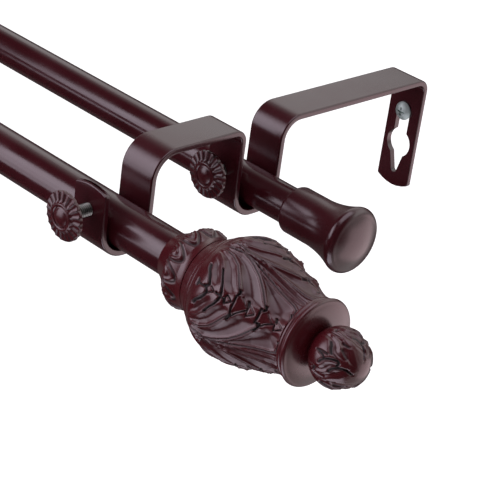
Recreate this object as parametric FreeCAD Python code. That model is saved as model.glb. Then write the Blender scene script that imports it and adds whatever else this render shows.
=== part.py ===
import FreeCAD, Part
import math
import os

# Double curtain pole: two telescoping poles carried by a bent-strap bracket at each end.
# Millimetres. +X runs along the poles to the right, +Y into the wall, +Z up.
# The origin lies on the wall plane, at the right bracket's middle and the front pole's height.

Vector = FreeCAD.Vector

# Poles
FRONT_POLE_OD = 20.6
REAR_POLE_OD = 18.0
TUBE_WALL = 0.6
TELESCOPE_GAP = 0.1
FRONT_REACH = 195.0
REAR_REACH = 113.5
BRACKET_SPACING = 623.0
POLE_OVERHANG = 50.0
REAR_OVERHANG = 56.0
OUTER_TUBE_STOP = 12.0
INNER_TUBE_SETBACK = 40.0

# Bracket strap
STRAP_WIDTH = 20.5
STRAP_THICKNESS = 3.0
STRAP_EDGE_ROUND = 0.3
ARM_TOP = 33.0
PLATE_DROP = 26.5
PLATE_CROWN = 3.0
TIP_HEIGHT = 18.5
TIP_CROWN = 2.0
CRADLE_WIDTH = 23.2
REAR_CRADLE_BEND = 9.4
FRONT_CRADLE_BEND = 10.7
POLE_SEAT_GAP = 0.05
LEG_GAP = 0.3
WALL_BEND = 2.0
REAR_BEND = 9.0
ARCH_BEND = 4.0
FRONT_BEND = 11.0

# Keyhole in the wall plate
KEY_SLOT_WIDTH = 8.2
KEY_ROUND_DIAMETER = 15.0
KEY_ROUND_HEIGHT = -5.6
KEY_SLOT_BOTTOM = -22.3

# Wall screw
WALL_SCREW_SHANK = 4.2
WALL_SCREW_HEIGHT = 12.2
WALL_SCREW_HEAD = 9.6
WALL_SCREW_HEAD_RISE = 3.0
WALL_SCREW_HEAD_EDGE = 0.9
WALL_SCREW_CROSS_LENGTH = 4.4
WALL_SCREW_CROSS_WIDTH = 0.9
WALL_SCREW_CROSS_DEPTH = 1.9
WALL_SCREW_LENGTH = 12.7
WALL_SCREW_POINT = 4.0
WALL_SCREW_GAP = 0.1

# Thumbscrews
THUMB_SHANK = 6.0
THUMB_PITCH = 1.0
THUMB_HEIGHT = 8.5
THUMB_REACH = 16.0
THUMB_TIP_GAP = 0.1
THREAD_GAP = 0.05
KNOB_DIAMETER = 22.8
KNOB_HUB_DIAMETER = 9.0
KNOB_HUB_LENGTH = 3.0
KNOB_RIM_THICKNESS = 2.6
KNOB_EDGE_ROUND = 0.6
KNOB_RING_DIAMETER = 11.0
KNOB_RING_RISE = 1.2
KNOB_RING_BULGE = 0.5
KNOB_GROOVE_DEPTH = 0.6
KNOB_BUTTON_DIAMETER = 7.2
KNOB_BUTTON_RISE = 2.2
KNOB_SOCKET_DEPTH = 4.5
KNOB_FLUTES = 20
KNOB_FLUTE_DEPTH = 0.7
KNOB_FLUTE_START = 0.4
KNOB_FLUTE_OVERRUN = 1.2

# Finial, along its axis from the end of the pole
FIT_GAP = 0.05
SOCKET_DEPTH = 8.5
COLLAR_LIP = 0.85
COLLAR_SLOPE_END = 1.0
COLLAR_SLOPE_DIAMETER = 34.1
COLLAR_HOLLOW = 0.35
COLLAR_PEAK = 4.4
COLLAR_DIAMETER = 36.9
COLLAR_BULGE = 0.25
COLLAR_END = 9.5
NECK_DIAMETER = 34.7
COLLAR_FALL_BULGE = 0.1
NECK_GROOVE = 13.2
NECK_GROOVE_WIDTH = 0.7
NECK_GROOVE_DEPTH = 0.7
NECK_EDGE_RISE = 0.3
BODY_START = 10.0
CARVING_START = 25.5
BODY_END = 71.5
BODY_END_DIAMETER = 36.8
BODY_SWELL = 9.9
BODY_SWELL_PEAK = 34.0
BODY_SWELL_FRONT = 0.95
BODY_SWELL_BACK = 0.75
LEAVES = 4
FIRST_LEAF_ANGLE = 107.0
FLUTE_DEPTH = 1.3
FLUTE_SHARE = 0.26
FLUTE_FADE = 0.15
VEIN_GROOVE_DEPTH = 0.8
RIB_RISE = 0.4
LOBE_TIP_DROP = 0.9
LOBE_TIP_SHARE = 0.15
STEPS_ALONG_LOBE = 10
BAND_RING_DIAMETER = 37.2
BAND_RING_WIDTH = 1.2
BAND_RING_BULGE = 0.3
BAND_GROOVE_WIDTH = 0.4
BAND_GROOVE_DEPTH = 0.4
DISC_DIAMETER = 39.4
DISC_THICKNESS = 6.1
DISC_EDGE_ROUND = 1.4
DISC_FLARE_BULGE = 0.2
DISC_DISH = 1.2
BALL_DIAMETER = 26.0
BALL_NECK_DIAMETER = 14.0
FINIAL_STUD_DIAMETER = 6.0
FINIAL_STUD_LENGTH = 22.0
FINIAL_STUD_CHAMFER = 0.5
STUD_IN_PLUG = 12.0
PLUG_LENGTH = 14.0

# Rear pole end cap, along its axis from its lip
CAP_LIP_SETBACK = 23.5
CAP_SLEEVE_DIAMETER = 23.2
CAP_LIP_ROUND = 2.4
CAP_SLEEVE_LENGTH = 16.0
CAP_FLARE_LENGTH = 34.0
CAP_FLARE_HOLLOW = 0.9
CAP_RIM_DIAMETER = 31.4
CAP_RIM_WIDTH = 3.2
CAP_RIM_DROP = 1.1
CAP_RIM_BULGE = 0.85
CAP_DOME_RISE = 4.5

# Sizes that follow from those above
FRONT_RADIUS = FRONT_POLE_OD / 2
REAR_RADIUS = REAR_POLE_OD / 2
TELESCOPE_STEP = TUBE_WALL + TELESCOPE_GAP
FLOOR = -FRONT_RADIUS - POLE_SEAT_GAP
REAR_AXIS_HEIGHT = FLOOR + POLE_SEAT_GAP + REAR_RADIUS
LEFT_X = -BRACKET_SPACING
THUMB_RADIUS = THUMB_SHANK / 2

# Bulge of a quarter round, as a share of its radius
QUARTER = 1 - math.sqrt(0.5)


def turned(start, *moves):
    """Solid of revolution about the X axis, from an outline of (along, radius) points.

    A third number makes the line to that point an arc, which stands so far off its chord's middle:
    outwards where it is positive, as the outline runs towards +X.
    """
    edges = []
    here = Vector(start[0], start[1], 0)
    for move in moves + (start,):
        end = Vector(move[0], move[1], 0)
        if len(move) == 3:
            chord = (end - here).normalize()
            middle = (here + end) / 2 + Vector(-chord.y, chord.x, 0) * move[2]
            edges.append(Part.Arc(here, middle, end).toShape())
        elif here.distanceToPoint(end) > 1e-6:
            edges.append(Part.makeLine(here, end))
        here = end
    return Part.Face(Part.Wire(edges)).revolve(Vector(0, 0, 0), Vector(1, 0, 0), 360)


def dome(base, rim, rise):
    """Last move of an outline that closes on the axis with a dome, from radius rim at base."""
    sphere = (rim ** 2 + rise ** 2) / (2 * rise)
    half_chord = math.hypot(rim, rise) / 2
    return (base + rise, 0, sphere - math.sqrt(sphere ** 2 - half_chord ** 2))


def rod_x(diameter, start, end):
    """Plain round rod along X."""
    return Part.makeCylinder(diameter / 2, end - start, Vector(start, 0, 0), Vector(1, 0, 0))


def tube(outer_diameter, start, end, reach, height):
    """Thin-walled pole section along X."""
    bore = outer_diameter - 2 * TUBE_WALL
    section = rod_x(outer_diameter, start, end).cut(rod_x(bore, start, end))
    section.translate(Vector(0, -reach, height))
    return section


def unit(a, b):
    length = math.dist(a, b)
    return ((b[0] - a[0]) / length, (b[1] - a[1]) / length)


def strap_side(corners, offset):
    """Edges of one side of the bent strap, in the YZ plane, at an offset to the left of its path.

    corners holds (y, z, radius) with the radius on the right-hand side of the path.
    """
    directions = [unit(a[:2], b[:2]) for a, b in zip(corners, corners[1:])]
    edges = []
    here = None
    for index, (y, z, radius) in enumerate(corners):
        before = directions[max(index - 1, 0)]
        after = directions[min(index, len(directions) - 1)]
        turn = math.atan2(before[0] * after[1] - before[1] * after[0],
                          before[0] * after[0] + before[1] * after[1])
        half = math.tan(turn / 2)
        corner = (y - before[1] * offset - before[0] * half * offset,
                  z + before[0] * offset - before[1] * half * offset)
        if abs(turn) < 1e-6:
            start = end = corner
        else:
            side = 1 if turn > 0 else -1
            bend = radius - side * offset
            reach = bend * abs(half)
            start = (corner[0] - before[0] * reach, corner[1] - before[1] * reach)
            end = (corner[0] + after[0] * reach, corner[1] + after[1] * reach)
        if here and math.dist(here, start) > 1e-6:
            edges.append(Part.makeLine(Vector(0, *here), Vector(0, *start)))
        if start != end:
            centre = (start[0] - before[1] * side * bend, start[1] + before[0] * side * bend)
            inward = unit(centre, corner)
            middle = (centre[0] + inward[0] * bend, centre[1] + inward[1] * bend)
            edges.append(Part.Arc(Vector(0, *start), Vector(0, *middle), Vector(0, *end)).toShape())
        here = end
    return edges


def crowned_end(corner_height, crown):
    """Tool that trims a strap end to a shallow arc: a negative crown trims the lower end."""
    half = STRAP_WIDTH / 2
    left = Vector(-half, 0, corner_height)
    right = Vector(half, 0, corner_height)
    peak = Vector(0, 0, corner_height + crown)
    beyond = Vector(0, 0, 2 * crown)
    arc = Part.Arc(left, peak, right).toShape()
    rest = Part.makePolygon([right, right + beyond, left + beyond, left])
    face = Part.Face(Part.Wire([arc] + rest.Edges))
    tool = face.extrude(Vector(0, 4 * STRAP_THICKNESS, 0))
    tool.translate(Vector(0, -2 * STRAP_THICKNESS, 0))
    return tool


def keyhole():
    """Keyhole through the wall plate: a round mouth with a slot above it and one below."""
    radius = KEY_SLOT_WIDTH / 2
    top = WALL_SCREW_HEIGHT + WALL_SCREW_SHANK / 2 + WALL_SCREW_GAP - radius
    bottom = KEY_SLOT_BOTTOM + radius
    depth = 3 * STRAP_THICKNESS
    back = Vector(0, STRAP_THICKNESS, 0)
    inward = Vector(0, -1, 0)
    tool = Part.makeBox(KEY_SLOT_WIDTH, depth, top - bottom, back + Vector(-radius, -depth, bottom))
    for height, size in ((top, radius), (bottom, radius), (KEY_ROUND_HEIGHT, KEY_ROUND_DIAMETER / 2)):
        tool = tool.fuse(Part.makeCylinder(size, depth, back + Vector(0, 0, height), inward))
    return tool


def leg_face(reach, radius):
    """Where the pole side of a cradle's wall-side leg stands."""
    return -reach + radius + LEG_GAP


def bracket():
    """Bracket bent from one flat strap: wall plate, long arm, rear cradle, short arm, front cradle."""
    rear_leg = leg_face(REAR_REACH, REAR_RADIUS)
    front_leg = leg_face(FRONT_REACH, FRONT_RADIUS)
    width = CRADLE_WIDTH
    thickness = STRAP_THICKNESS
    corners = [
        (0, -PLATE_DROP - PLATE_CROWN, 0),
        (0, ARM_TOP, WALL_BEND + thickness),
        (rear_leg, ARM_TOP, REAR_BEND + thickness),
        (rear_leg, FLOOR, REAR_CRADLE_BEND),
        (rear_leg - width, FLOOR, REAR_CRADLE_BEND),
        (rear_leg - width, ARM_TOP, ARCH_BEND + thickness),
        (front_leg, ARM_TOP, FRONT_BEND + thickness),
        (front_leg, FLOOR, FRONT_CRADLE_BEND),
        (front_leg - width, FLOOR, FRONT_CRADLE_BEND),
        (front_leg - width, TIP_HEIGHT + TIP_CROWN, 0),
    ]
    pole_side = strap_side(corners, 0)
    under_side = strap_side(corners, thickness)
    start = Part.makeLine(pole_side[0].Vertexes[0].Point, under_side[0].Vertexes[0].Point)
    end = Part.makeLine(pole_side[-1].Vertexes[-1].Point, under_side[-1].Vertexes[-1].Point)
    wire = Part.Wire(Part.__sortEdges__(pole_side + [end] + under_side + [start]))
    strap = Part.Face(wire).extrude(Vector(STRAP_WIDTH, 0, 0))
    strap.translate(Vector(-STRAP_WIDTH / 2, 0, 0))
    strap = strap.makeFillet(STRAP_EDGE_ROUND, long_edges(strap))
    tip_tool = crowned_end(TIP_HEIGHT, TIP_CROWN)
    tip_tool.translate(Vector(0, front_leg - width, 0))
    strap = strap.cut([crowned_end(-PLATE_DROP, -PLATE_CROWN), tip_tool, keyhole()])
    for leg in (rear_leg, front_leg):
        hole = Part.makeCylinder(THUMB_RADIUS + THREAD_GAP, 3 * thickness,
                                 Vector(0, leg - width + thickness, THUMB_HEIGHT), Vector(0, -1, 0))
        strap = strap.cut(hole)
    return strap


def long_edges(strap):
    """The strap's sheared edges: every edge that lies in one of its two side planes, ends apart."""
    ends = (-PLATE_DROP - PLATE_CROWN, TIP_HEIGHT + TIP_CROWN)
    chosen = []
    for edge in strap.Edges:
        box = edge.BoundBox
        flat = box.ZLength < 1e-6
        at_end = flat and min(abs(box.ZMin - z) for z in ends) < 1e-6
        if box.XLength < 1e-6 and not at_end:
            chosen.append(edge)
    return chosen


def wall_screw():
    """Short pan-head screw: the head bears on the plate, the shank passes the keyhole's upper slot."""
    head = WALL_SCREW_HEAD / 2
    shank = WALL_SCREW_SHANK / 2
    edge = WALL_SCREW_HEAD_EDGE
    point = WALL_SCREW_LENGTH - WALL_SCREW_POINT
    screw = turned((-WALL_SCREW_LENGTH, 0), (-point, shank), (0, shank), (0, head), (edge, head),
                   dome(edge, head, WALL_SCREW_HEAD_RISE - edge))
    length = WALL_SCREW_CROSS_LENGTH
    width = WALL_SCREW_CROSS_WIDTH
    depth = WALL_SCREW_CROSS_DEPTH
    recess = Part.makeBox(2 * depth, width, length,
                          Vector(WALL_SCREW_HEAD_RISE - depth, -width / 2, -length / 2))
    crossed = recess.copy()
    crossed.rotate(Vector(0, 0, 0), Vector(1, 0, 0), 90)
    screw = screw.cut(recess.fuse(crossed))
    screw.rotate(Vector(0, 0, 0), Vector(0, 0, 1), -90)
    screw.translate(Vector(0, -STRAP_THICKNESS, WALL_SCREW_HEIGHT))
    return screw


def knob():
    """Rosette head of a thumbscrew, standing on its back at the origin and facing +X."""
    rim = KNOB_DIAMETER / 2
    hub = KNOB_HUB_DIAMETER / 2
    ring = KNOB_RING_DIAMETER / 2
    button = KNOB_BUTTON_DIAMETER / 2
    back = KNOB_HUB_LENGTH
    front = back + KNOB_RIM_THICKNESS
    crest = front + KNOB_RING_RISE
    groove = crest - KNOB_GROOVE_DEPTH
    edge = KNOB_EDGE_ROUND
    disc = turned((0, 0), (0, hub), (back, hub), (back, rim - edge), (back + edge, rim, QUARTER * edge),
                  (front - edge, rim), (front, rim - edge, QUARTER * edge), (crest, ring),
                  (groove, (ring + button) / 2, KNOB_RING_BULGE), (groove, button),
                  dome(groove, button, front + KNOB_BUTTON_RISE - groove))
    spread = math.sin(math.pi / KNOB_FLUTES)
    lift = spread - KNOB_FLUTE_DEPTH / rim
    inner = ring + KNOB_FLUTE_START
    along = Vector(front - crest + lift * (rim - inner), 0, rim - inner) * KNOB_FLUTE_OVERRUN
    outer = inner + along.z
    cutter = Part.makeCone(spread * inner, spread * outer, along.Length,
                           Vector(crest + lift * inner, 0, inner), along)
    flutes = []
    for index in range(KNOB_FLUTES):
        flute = cutter.copy()
        flute.rotate(Vector(0, 0, 0), Vector(1, 0, 0), index * 360 / KNOB_FLUTES)
        flutes.append(flute)
    disc = disc.cut(flutes)
    socket = rod_x(THUMB_SHANK + 2 * THREAD_GAP, 0, KNOB_SOCKET_DEPTH + THREAD_GAP)
    return disc.cut(socket)


def thumb_tip(pole_radius, axis_height, reach, rise):
    """Y of the shank's end where its lower edge meets the pole, for a bracket raised by rise."""
    above = THUMB_HEIGHT + rise - axis_height - THUMB_RADIUS
    return -reach - math.sqrt(max(pole_radius ** 2 - above ** 2, 0)) - THUMB_TIP_GAP


def place_thumbscrew(shape, tip, x, rise):
    """Turns a piece built along +X to point into the room and moves it to its bracket."""
    placed = shape.copy()
    placed.rotate(Vector(0, 0, 0), Vector(0, 0, 1), -90)
    placed.translate(Vector(x, tip, THUMB_HEIGHT + rise))
    return placed


def thumb_shank():
    """Threaded shank: its chamfered end meets the pole and its other end sits in the knob."""
    radius = THUMB_RADIUS
    chamfer = THUMB_PITCH / 2
    end = THUMB_REACH + KNOB_SOCKET_DEPTH
    return turned((0, 0), (0, radius - chamfer), (chamfer, radius), (end, radius), (end, 0))


def body_radius(x):
    """Radius of the swelling body over its leaf ridges, at a place along the finial."""
    u = (x - BODY_START) / (BODY_END - BODY_START)
    straight = NECK_DIAMETER / 2 * (1 - u) + BODY_END_DIAMETER / 2 * u
    if x < BODY_SWELL_PEAK:
        share = (x - BODY_START) / (BODY_SWELL_PEAK - BODY_START)
        power = BODY_SWELL_FRONT
    else:
        share = (BODY_END - x) / (BODY_END - BODY_SWELL_PEAK)
        power = BODY_SWELL_BACK
    return straight + BODY_SWELL * ((1 - math.cos(math.pi * share)) / 2) ** power


# A half leaf is a square: u runs from neck to disc, s from the midrib (0) to where leaves meet (1).
# Each vein is a quarter ellipse from (start u, start s) to (end u, 1), and the last is the midrib.
VEINS = ((0.0, 1.0, 0.0), (0.0, 0.42, 0.2), (0.0, 0.24, 0.35), (0.0, 0.0, 0.48), (0.24, 0.0, 0.72))
RIB_START = 0.3
RIB_SHARE = 0.6
RIB_FLANK = 0.84
RIB_CREST = 0.92
RIB_VALLEY = 0.3
# Height across one lobe, as (place, share of the flute's depth, share of the vein groove's depth)
LOBE_SECTION = ((0.0, 0.0, 1.0), (0.08, 0.0, 0.0), (0.3, 0.8, 0.0), (0.5, 1.0, 0.0),
                (0.7, 0.8, 0.0), (0.92, 0.0, 0.0))


def vein_point(index, v):
    """Point (u, s) a share v along one vein."""
    if index == len(VEINS):
        if v < RIB_SHARE:
            return (RIB_START + (1 - RIB_START) * v / RIB_SHARE, 0.0)
        return (1.0, (v - RIB_SHARE) / (1 - RIB_SHARE))
    start_u, start_s, end_u = VEINS[index]
    angle = v * math.pi / 2
    return (start_u + (end_u - start_u) * math.sin(angle), 1 - (1 - start_s) * math.cos(angle))


def lobe_rows():
    """Rows of a half leaf: (lobe, place across it, flute share, groove share, rib share)."""
    rows = []
    last = len(VEINS) - 1
    for lobe in range(len(VEINS)):
        for place, flute, groove in LOBE_SECTION:
            rows.append((lobe, place, flute, groove, 0.0))
    rows[-1] = (last, RIB_FLANK, 0.0, 1.0, 0.0)
    rows.append((last, RIB_CREST, 0.0, 0.0, 1.0))
    rows.append((last, 1.0, 0.0, RIB_VALLEY, 0.0))
    return rows


def leaf_grid(start, length):
    """Grid of (x, s, radius) points over a half leaf, one row for each line along its lobes."""
    grid = []
    for lobe, place, flute, groove, rib in lobe_rows():
        row = []
        for step in range(STEPS_ALONG_LOBE + 1):
            v = step / STEPS_ALONG_LOBE
            near = vein_point(lobe, v)
            far = vein_point(lobe + 1, v)
            u = near[0] + (far[0] - near[0]) * place
            s = near[1] + (far[1] - near[1]) * place
            radius = body_radius(start + length * u)
            arc = radius * math.pi / LEAVES
            width = math.hypot((far[0] - near[0]) * length, (far[1] - near[1]) * arc)
            opening = FLUTE_SHARE * width * min(1.0, v / FLUTE_FADE)
            tip = max(0.0, 1 - (1 - v) / LOBE_TIP_SHARE)
            if 1e-9 < u < 1 - 1e-9:
                height = (RIB_RISE * rib - min(FLUTE_DEPTH, opening) * flute * (1 - tip)
                          - min(VEIN_GROOVE_DEPTH, opening) * groove - LOBE_TIP_DROP * tip)
            else:
                height = 0.0
            row.append((start + length * u, s, radius + height))
        grid.append(row)
    return grid


def carved_body(start, end):
    """Closed faceted solid of the leaf-carved body, between its two end planes."""
    grid = leaf_grid(start, end - start)
    points = []
    places = {}
    facets = []

    def corner(x, angle, radius):
        key = (round(x, 5), round(radius * math.cos(angle), 5), round(radius * math.sin(angle), 5))
        if key not in places:
            places[key] = len(points)
            points.append(Vector(*key))
        return places[key]

    def facet(a, b, c):
        if a != b and b != c and a != c:
            facets.append((a, b, c))

    half = math.pi / LEAVES
    for leaf in range(LEAVES):
        middle = math.radians(FIRST_LEAF_ANGLE) + leaf * 2 * half
        for side in (1, -1):
            indices = [[corner(x, middle + side * half * s, r) for x, s, r in row] for row in grid]
            for row, following in zip(indices, indices[1:]):
                for a, b, c, d in zip(row, row[1:], following[1:], following):
                    if side < 0:
                        b, d = d, b
                    facet(a, b, d)
                    facet(c, d, b)
    for plane in (start, end):
        ring = sorted((math.atan2(points[i].z, points[i].y), i) for i in set(places.values())
                      if abs(points[i].x - plane) < 1e-4)
        centre = corner(plane, 0.0, 0.0)
        loop = [index for _, index in ring]
        for a, b in zip(loop, loop[1:] + loop[:1]):
            if plane == start:
                a, b = b, a
            facet(centre, a, b)
    shell = Part.Shape()
    shell.makeShapeFromMesh((points, facets), 0.001)
    solid = Part.makeSolid(Part.Shell(shell.Faces))
    if solid.Volume < 0:
        solid.reverse()
    return solid


def finial(tube_od):
    """Turned and carved finial along +X: the pole ends in its socket at x = 0."""
    bore = tube_od / 2 + FIT_GAP
    back = -SOCKET_DEPTH
    collar = COLLAR_DIAMETER / 2
    neck_radius = NECK_DIAMETER / 2
    groove_end = NECK_GROOVE + NECK_GROOVE_WIDTH
    groove = body_radius(NECK_GROOVE) - NECK_GROOVE_DEPTH
    neck_edge = body_radius(CARVING_START) + NECK_EDGE_RISE
    neck_bulge = body_radius((groove_end + CARVING_START) / 2) - (body_radius(groove_end) + neck_edge) / 2
    stud = FINIAL_STUD_DIAMETER / 2 + THREAD_GAP
    stud_end = FINIAL_STUD_LENGTH - STUD_IN_PLUG + THREAD_GAP
    neck = turned((stud_end, 0), (stud_end, stud), (0, stud), (0, bore), (back, bore),
                  (back, bore + COLLAR_LIP),
                  (COLLAR_SLOPE_END, COLLAR_SLOPE_DIAMETER / 2, -COLLAR_HOLLOW),
                  (COLLAR_PEAK, collar, COLLAR_BULGE), (COLLAR_END, neck_radius, COLLAR_FALL_BULGE),
                  (NECK_GROOVE, body_radius(NECK_GROOVE)), (NECK_GROOVE, groove), (groove_end, groove),
                  (groove_end, body_radius(groove_end)),
                  (CARVING_START, neck_edge, neck_bulge), (CARVING_START, 0))
    body = carved_body(CARVING_START, BODY_END)
    band = BAND_RING_DIAMETER / 2
    band_end = BODY_END + BAND_RING_WIDTH
    band_groove = band - BAND_GROOVE_DEPTH
    disc = DISC_DIAMETER / 2
    edge = DISC_EDGE_ROUND
    face = BODY_END + DISC_THICKNESS
    ball = BALL_DIAMETER / 2
    ball_neck = BALL_NECK_DIAMETER / 2
    ball_length = ball + math.sqrt(ball ** 2 - ball_neck ** 2)
    head = turned((BODY_END, 0), (BODY_END, band), (band_end, band, BAND_RING_BULGE),
                  (band_end, band_groove), (band_end + BAND_GROOVE_WIDTH, band_groove),
                  (face - edge, disc, DISC_FLARE_BULGE), (face, disc - edge, QUARTER * edge),
                  (face, ball_neck, -DISC_DISH), dome(face, ball_neck, ball_length))
    return neck.fuse([body, head])


def finial_stud():
    """Threaded stud that joins the finial to the plug in the end of the pole."""
    radius = FINIAL_STUD_DIAMETER / 2
    chamfer = FINIAL_STUD_CHAMFER
    start = -STUD_IN_PLUG
    end = FINIAL_STUD_LENGTH - STUD_IN_PLUG
    return turned((start, 0), (start, radius - chamfer), (start + chamfer, radius),
                  (end - chamfer, radius), (end, radius - chamfer), (end, 0))


def tube_plug(tube_od):
    """Round plug with a threaded bore, flush with the end of the front pole."""
    plug = rod_x(tube_od - 2 * TUBE_WALL - 2 * FIT_GAP, -PLUG_LENGTH, 0)
    return plug.cut(rod_x(FINIAL_STUD_DIAMETER + 2 * THREAD_GAP, -PLUG_LENGTH, 0))


def end_cap(tube_od):
    """Flared cap pushed over the end of the rear pole, from its lip at x = 0, facing +X."""
    sleeve = CAP_SLEEVE_DIAMETER / 2
    rim = CAP_RIM_DIAMETER / 2
    bore = tube_od / 2 + FIT_GAP
    socket = CAP_LIP_SETBACK
    edge = CAP_FLARE_LENGTH + CAP_RIM_WIDTH
    edge_radius = rim - CAP_RIM_DROP
    return turned((socket, 0), (socket, bore), (0, bore), (0, sleeve - CAP_LIP_ROUND),
                  (CAP_LIP_ROUND, sleeve, QUARTER * CAP_LIP_ROUND), (CAP_SLEEVE_LENGTH, sleeve),
                  (CAP_FLARE_LENGTH, rim, -CAP_FLARE_HOLLOW), (edge, edge_radius, CAP_RIM_BULGE),
                  dome(edge, edge_radius, CAP_DOME_RISE))


def right_end(shape, x, reach, height):
    placed = shape.copy()
    placed.translate(Vector(x, -reach, height))
    return placed


def left_end(shape, x, reach, height):
    """The same piece turned half round, so that it faces -X."""
    placed = shape.copy()
    placed.rotate(Vector(0, 0, 0), Vector(0, 0, 1), 180)
    placed.translate(Vector(x, -reach, height))
    return placed


def build():
    parts = {}
    front_inner = FRONT_POLE_OD - 2 * TELESCOPE_STEP
    rear_inner = REAR_POLE_OD - 2 * TELESCOPE_STEP
    front_axis = (FRONT_REACH, 0.0)
    rear_axis = (REAR_REACH, REAR_AXIS_HEIGHT)

    outer_start = LEFT_X + STRAP_WIDTH / 2 + OUTER_TUBE_STOP
    parts["front_outer_tube"] = tube(FRONT_POLE_OD, outer_start, POLE_OVERHANG, *front_axis)
    parts["rear_outer_tube"] = tube(REAR_POLE_OD, outer_start, REAR_OVERHANG, *rear_axis)
    inner_end = POLE_OVERHANG - INNER_TUBE_SETBACK
    parts["front_inner_tube"] = tube(front_inner, LEFT_X - POLE_OVERHANG, inner_end, *front_axis)
    parts["rear_inner_tube"] = tube(rear_inner, LEFT_X - REAR_OVERHANG, inner_end, *rear_axis)

    strap = bracket()
    screw = wall_screw()
    shank = thumb_shank()
    head = knob()
    head.translate(Vector(THUMB_REACH, 0, 0))
    for end, x, rise in (("right", 0, 0.0), ("left", LEFT_X, TELESCOPE_STEP)):
        parts["bracket_" + end] = strap.translated(Vector(x, 0, rise))
        parts["wall_screw_" + end] = screw.translated(Vector(x, 0, rise))
        for pole, radius, axis in (("front", FRONT_RADIUS, front_axis), ("rear", REAR_RADIUS, rear_axis)):
            tip = thumb_tip(radius - rise, axis[1], axis[0], rise)
            parts["thumb_shank_" + pole + "_" + end] = place_thumbscrew(shank, tip, x, rise)
            parts["thumb_knob_" + pole + "_" + end] = place_thumbscrew(head, tip, x, rise)

    stud = finial_stud()
    for end, place, x, front_od, rear_od in (
            ("right", right_end, 0, FRONT_POLE_OD, REAR_POLE_OD),
            ("left", left_end, LEFT_X, front_inner, rear_inner)):
        side = 1 if end == "right" else -1
        pole_end = x + side * POLE_OVERHANG
        cap_lip = x + side * (REAR_OVERHANG - CAP_LIP_SETBACK)
        parts["finial_" + end] = place(finial(front_od), pole_end, *front_axis)
        parts["finial_stud_" + end] = place(stud, pole_end, *front_axis)
        parts["finial_plug_" + end] = place(tube_plug(front_od), pole_end, *front_axis)
        parts["end_cap_" + end] = place(end_cap(rear_od), cap_lip, *rear_axis)
    return parts


os.makedirs("parts", exist_ok=True)
for node, shape in build().items():
    shape.exportStep("parts/" + node + ".step")
    print(node, "solids", len(shape.Solids), "valid", shape.isValid(), "volume", round(shape.Volume, 1))
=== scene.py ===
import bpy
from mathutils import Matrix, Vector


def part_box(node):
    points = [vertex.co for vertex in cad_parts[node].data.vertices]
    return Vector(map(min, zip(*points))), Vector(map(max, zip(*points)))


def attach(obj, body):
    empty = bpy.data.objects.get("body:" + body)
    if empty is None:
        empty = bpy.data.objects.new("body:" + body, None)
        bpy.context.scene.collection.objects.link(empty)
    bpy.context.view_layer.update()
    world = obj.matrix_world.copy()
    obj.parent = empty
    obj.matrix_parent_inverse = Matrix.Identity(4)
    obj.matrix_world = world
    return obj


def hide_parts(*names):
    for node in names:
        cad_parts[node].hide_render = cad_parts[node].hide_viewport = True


bl_info = {
    "name": "Double curtain pole looks",
    "version": (1, 0, 0),
    "blender": (4, 5, 0),
    "location": "3D View > Sidebar > Curtain pole",
    "description": "Builds the visible pieces, finishes and studio of a double curtain pole",
    "category": "Object",
}

import math

import bmesh
import bpy
import numpy as np
from bpy.props import FloatProperty, FloatVectorProperty, IntProperty, PointerProperty
from mathutils import Matrix, Vector

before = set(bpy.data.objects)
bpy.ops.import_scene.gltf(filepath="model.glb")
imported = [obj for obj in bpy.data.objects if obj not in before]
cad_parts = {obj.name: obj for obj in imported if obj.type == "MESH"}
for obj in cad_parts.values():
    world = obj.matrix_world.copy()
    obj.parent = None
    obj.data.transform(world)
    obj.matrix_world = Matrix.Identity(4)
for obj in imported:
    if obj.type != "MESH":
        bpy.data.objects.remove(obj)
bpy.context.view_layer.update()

MM = 0.001
ENDS = ("right", "left")
POLES = ("front", "rear")
THUMBSCREWS = ("front_right", "front_left", "rear_right", "rear_left")
END_TUBES = (("right", "outer_tube", 1), ("left", "inner_tube", -1))
# Bulge of a quarter circle, as a share of its radius, and the angle from which an edge is sharp
QUARTER = 1 - math.sqrt(0.5)
SHARP = 35.0


def length(name, millimetres, text):
    """A length that a user can change, shown in scene units."""
    return FloatProperty(name=name, description=text, default=millimetres * MM, subtype="DISTANCE",
                         unit="LENGTH", precision=5)


def amount(name, value, text):
    return FloatProperty(name=name, description=text, default=value, min=0.0)


def angle(name, degrees, text):
    return FloatProperty(name=name, description=text, default=math.radians(degrees), subtype="ANGLE",
                         unit="ROTATION")


def colour(name, value, text):
    return FloatVectorProperty(name=name, description=text, default=value, size=3, min=0.0, max=1.0,
                               subtype="COLOR")


class TubeSettings(bpy.types.PropertyGroup):
    """Tubes of both poles"""
    wall: length("Wall", 0.6, "Thickness of the wall")
    soft: length("Soft end", 0.25, "Radius of the softened ends")


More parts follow.
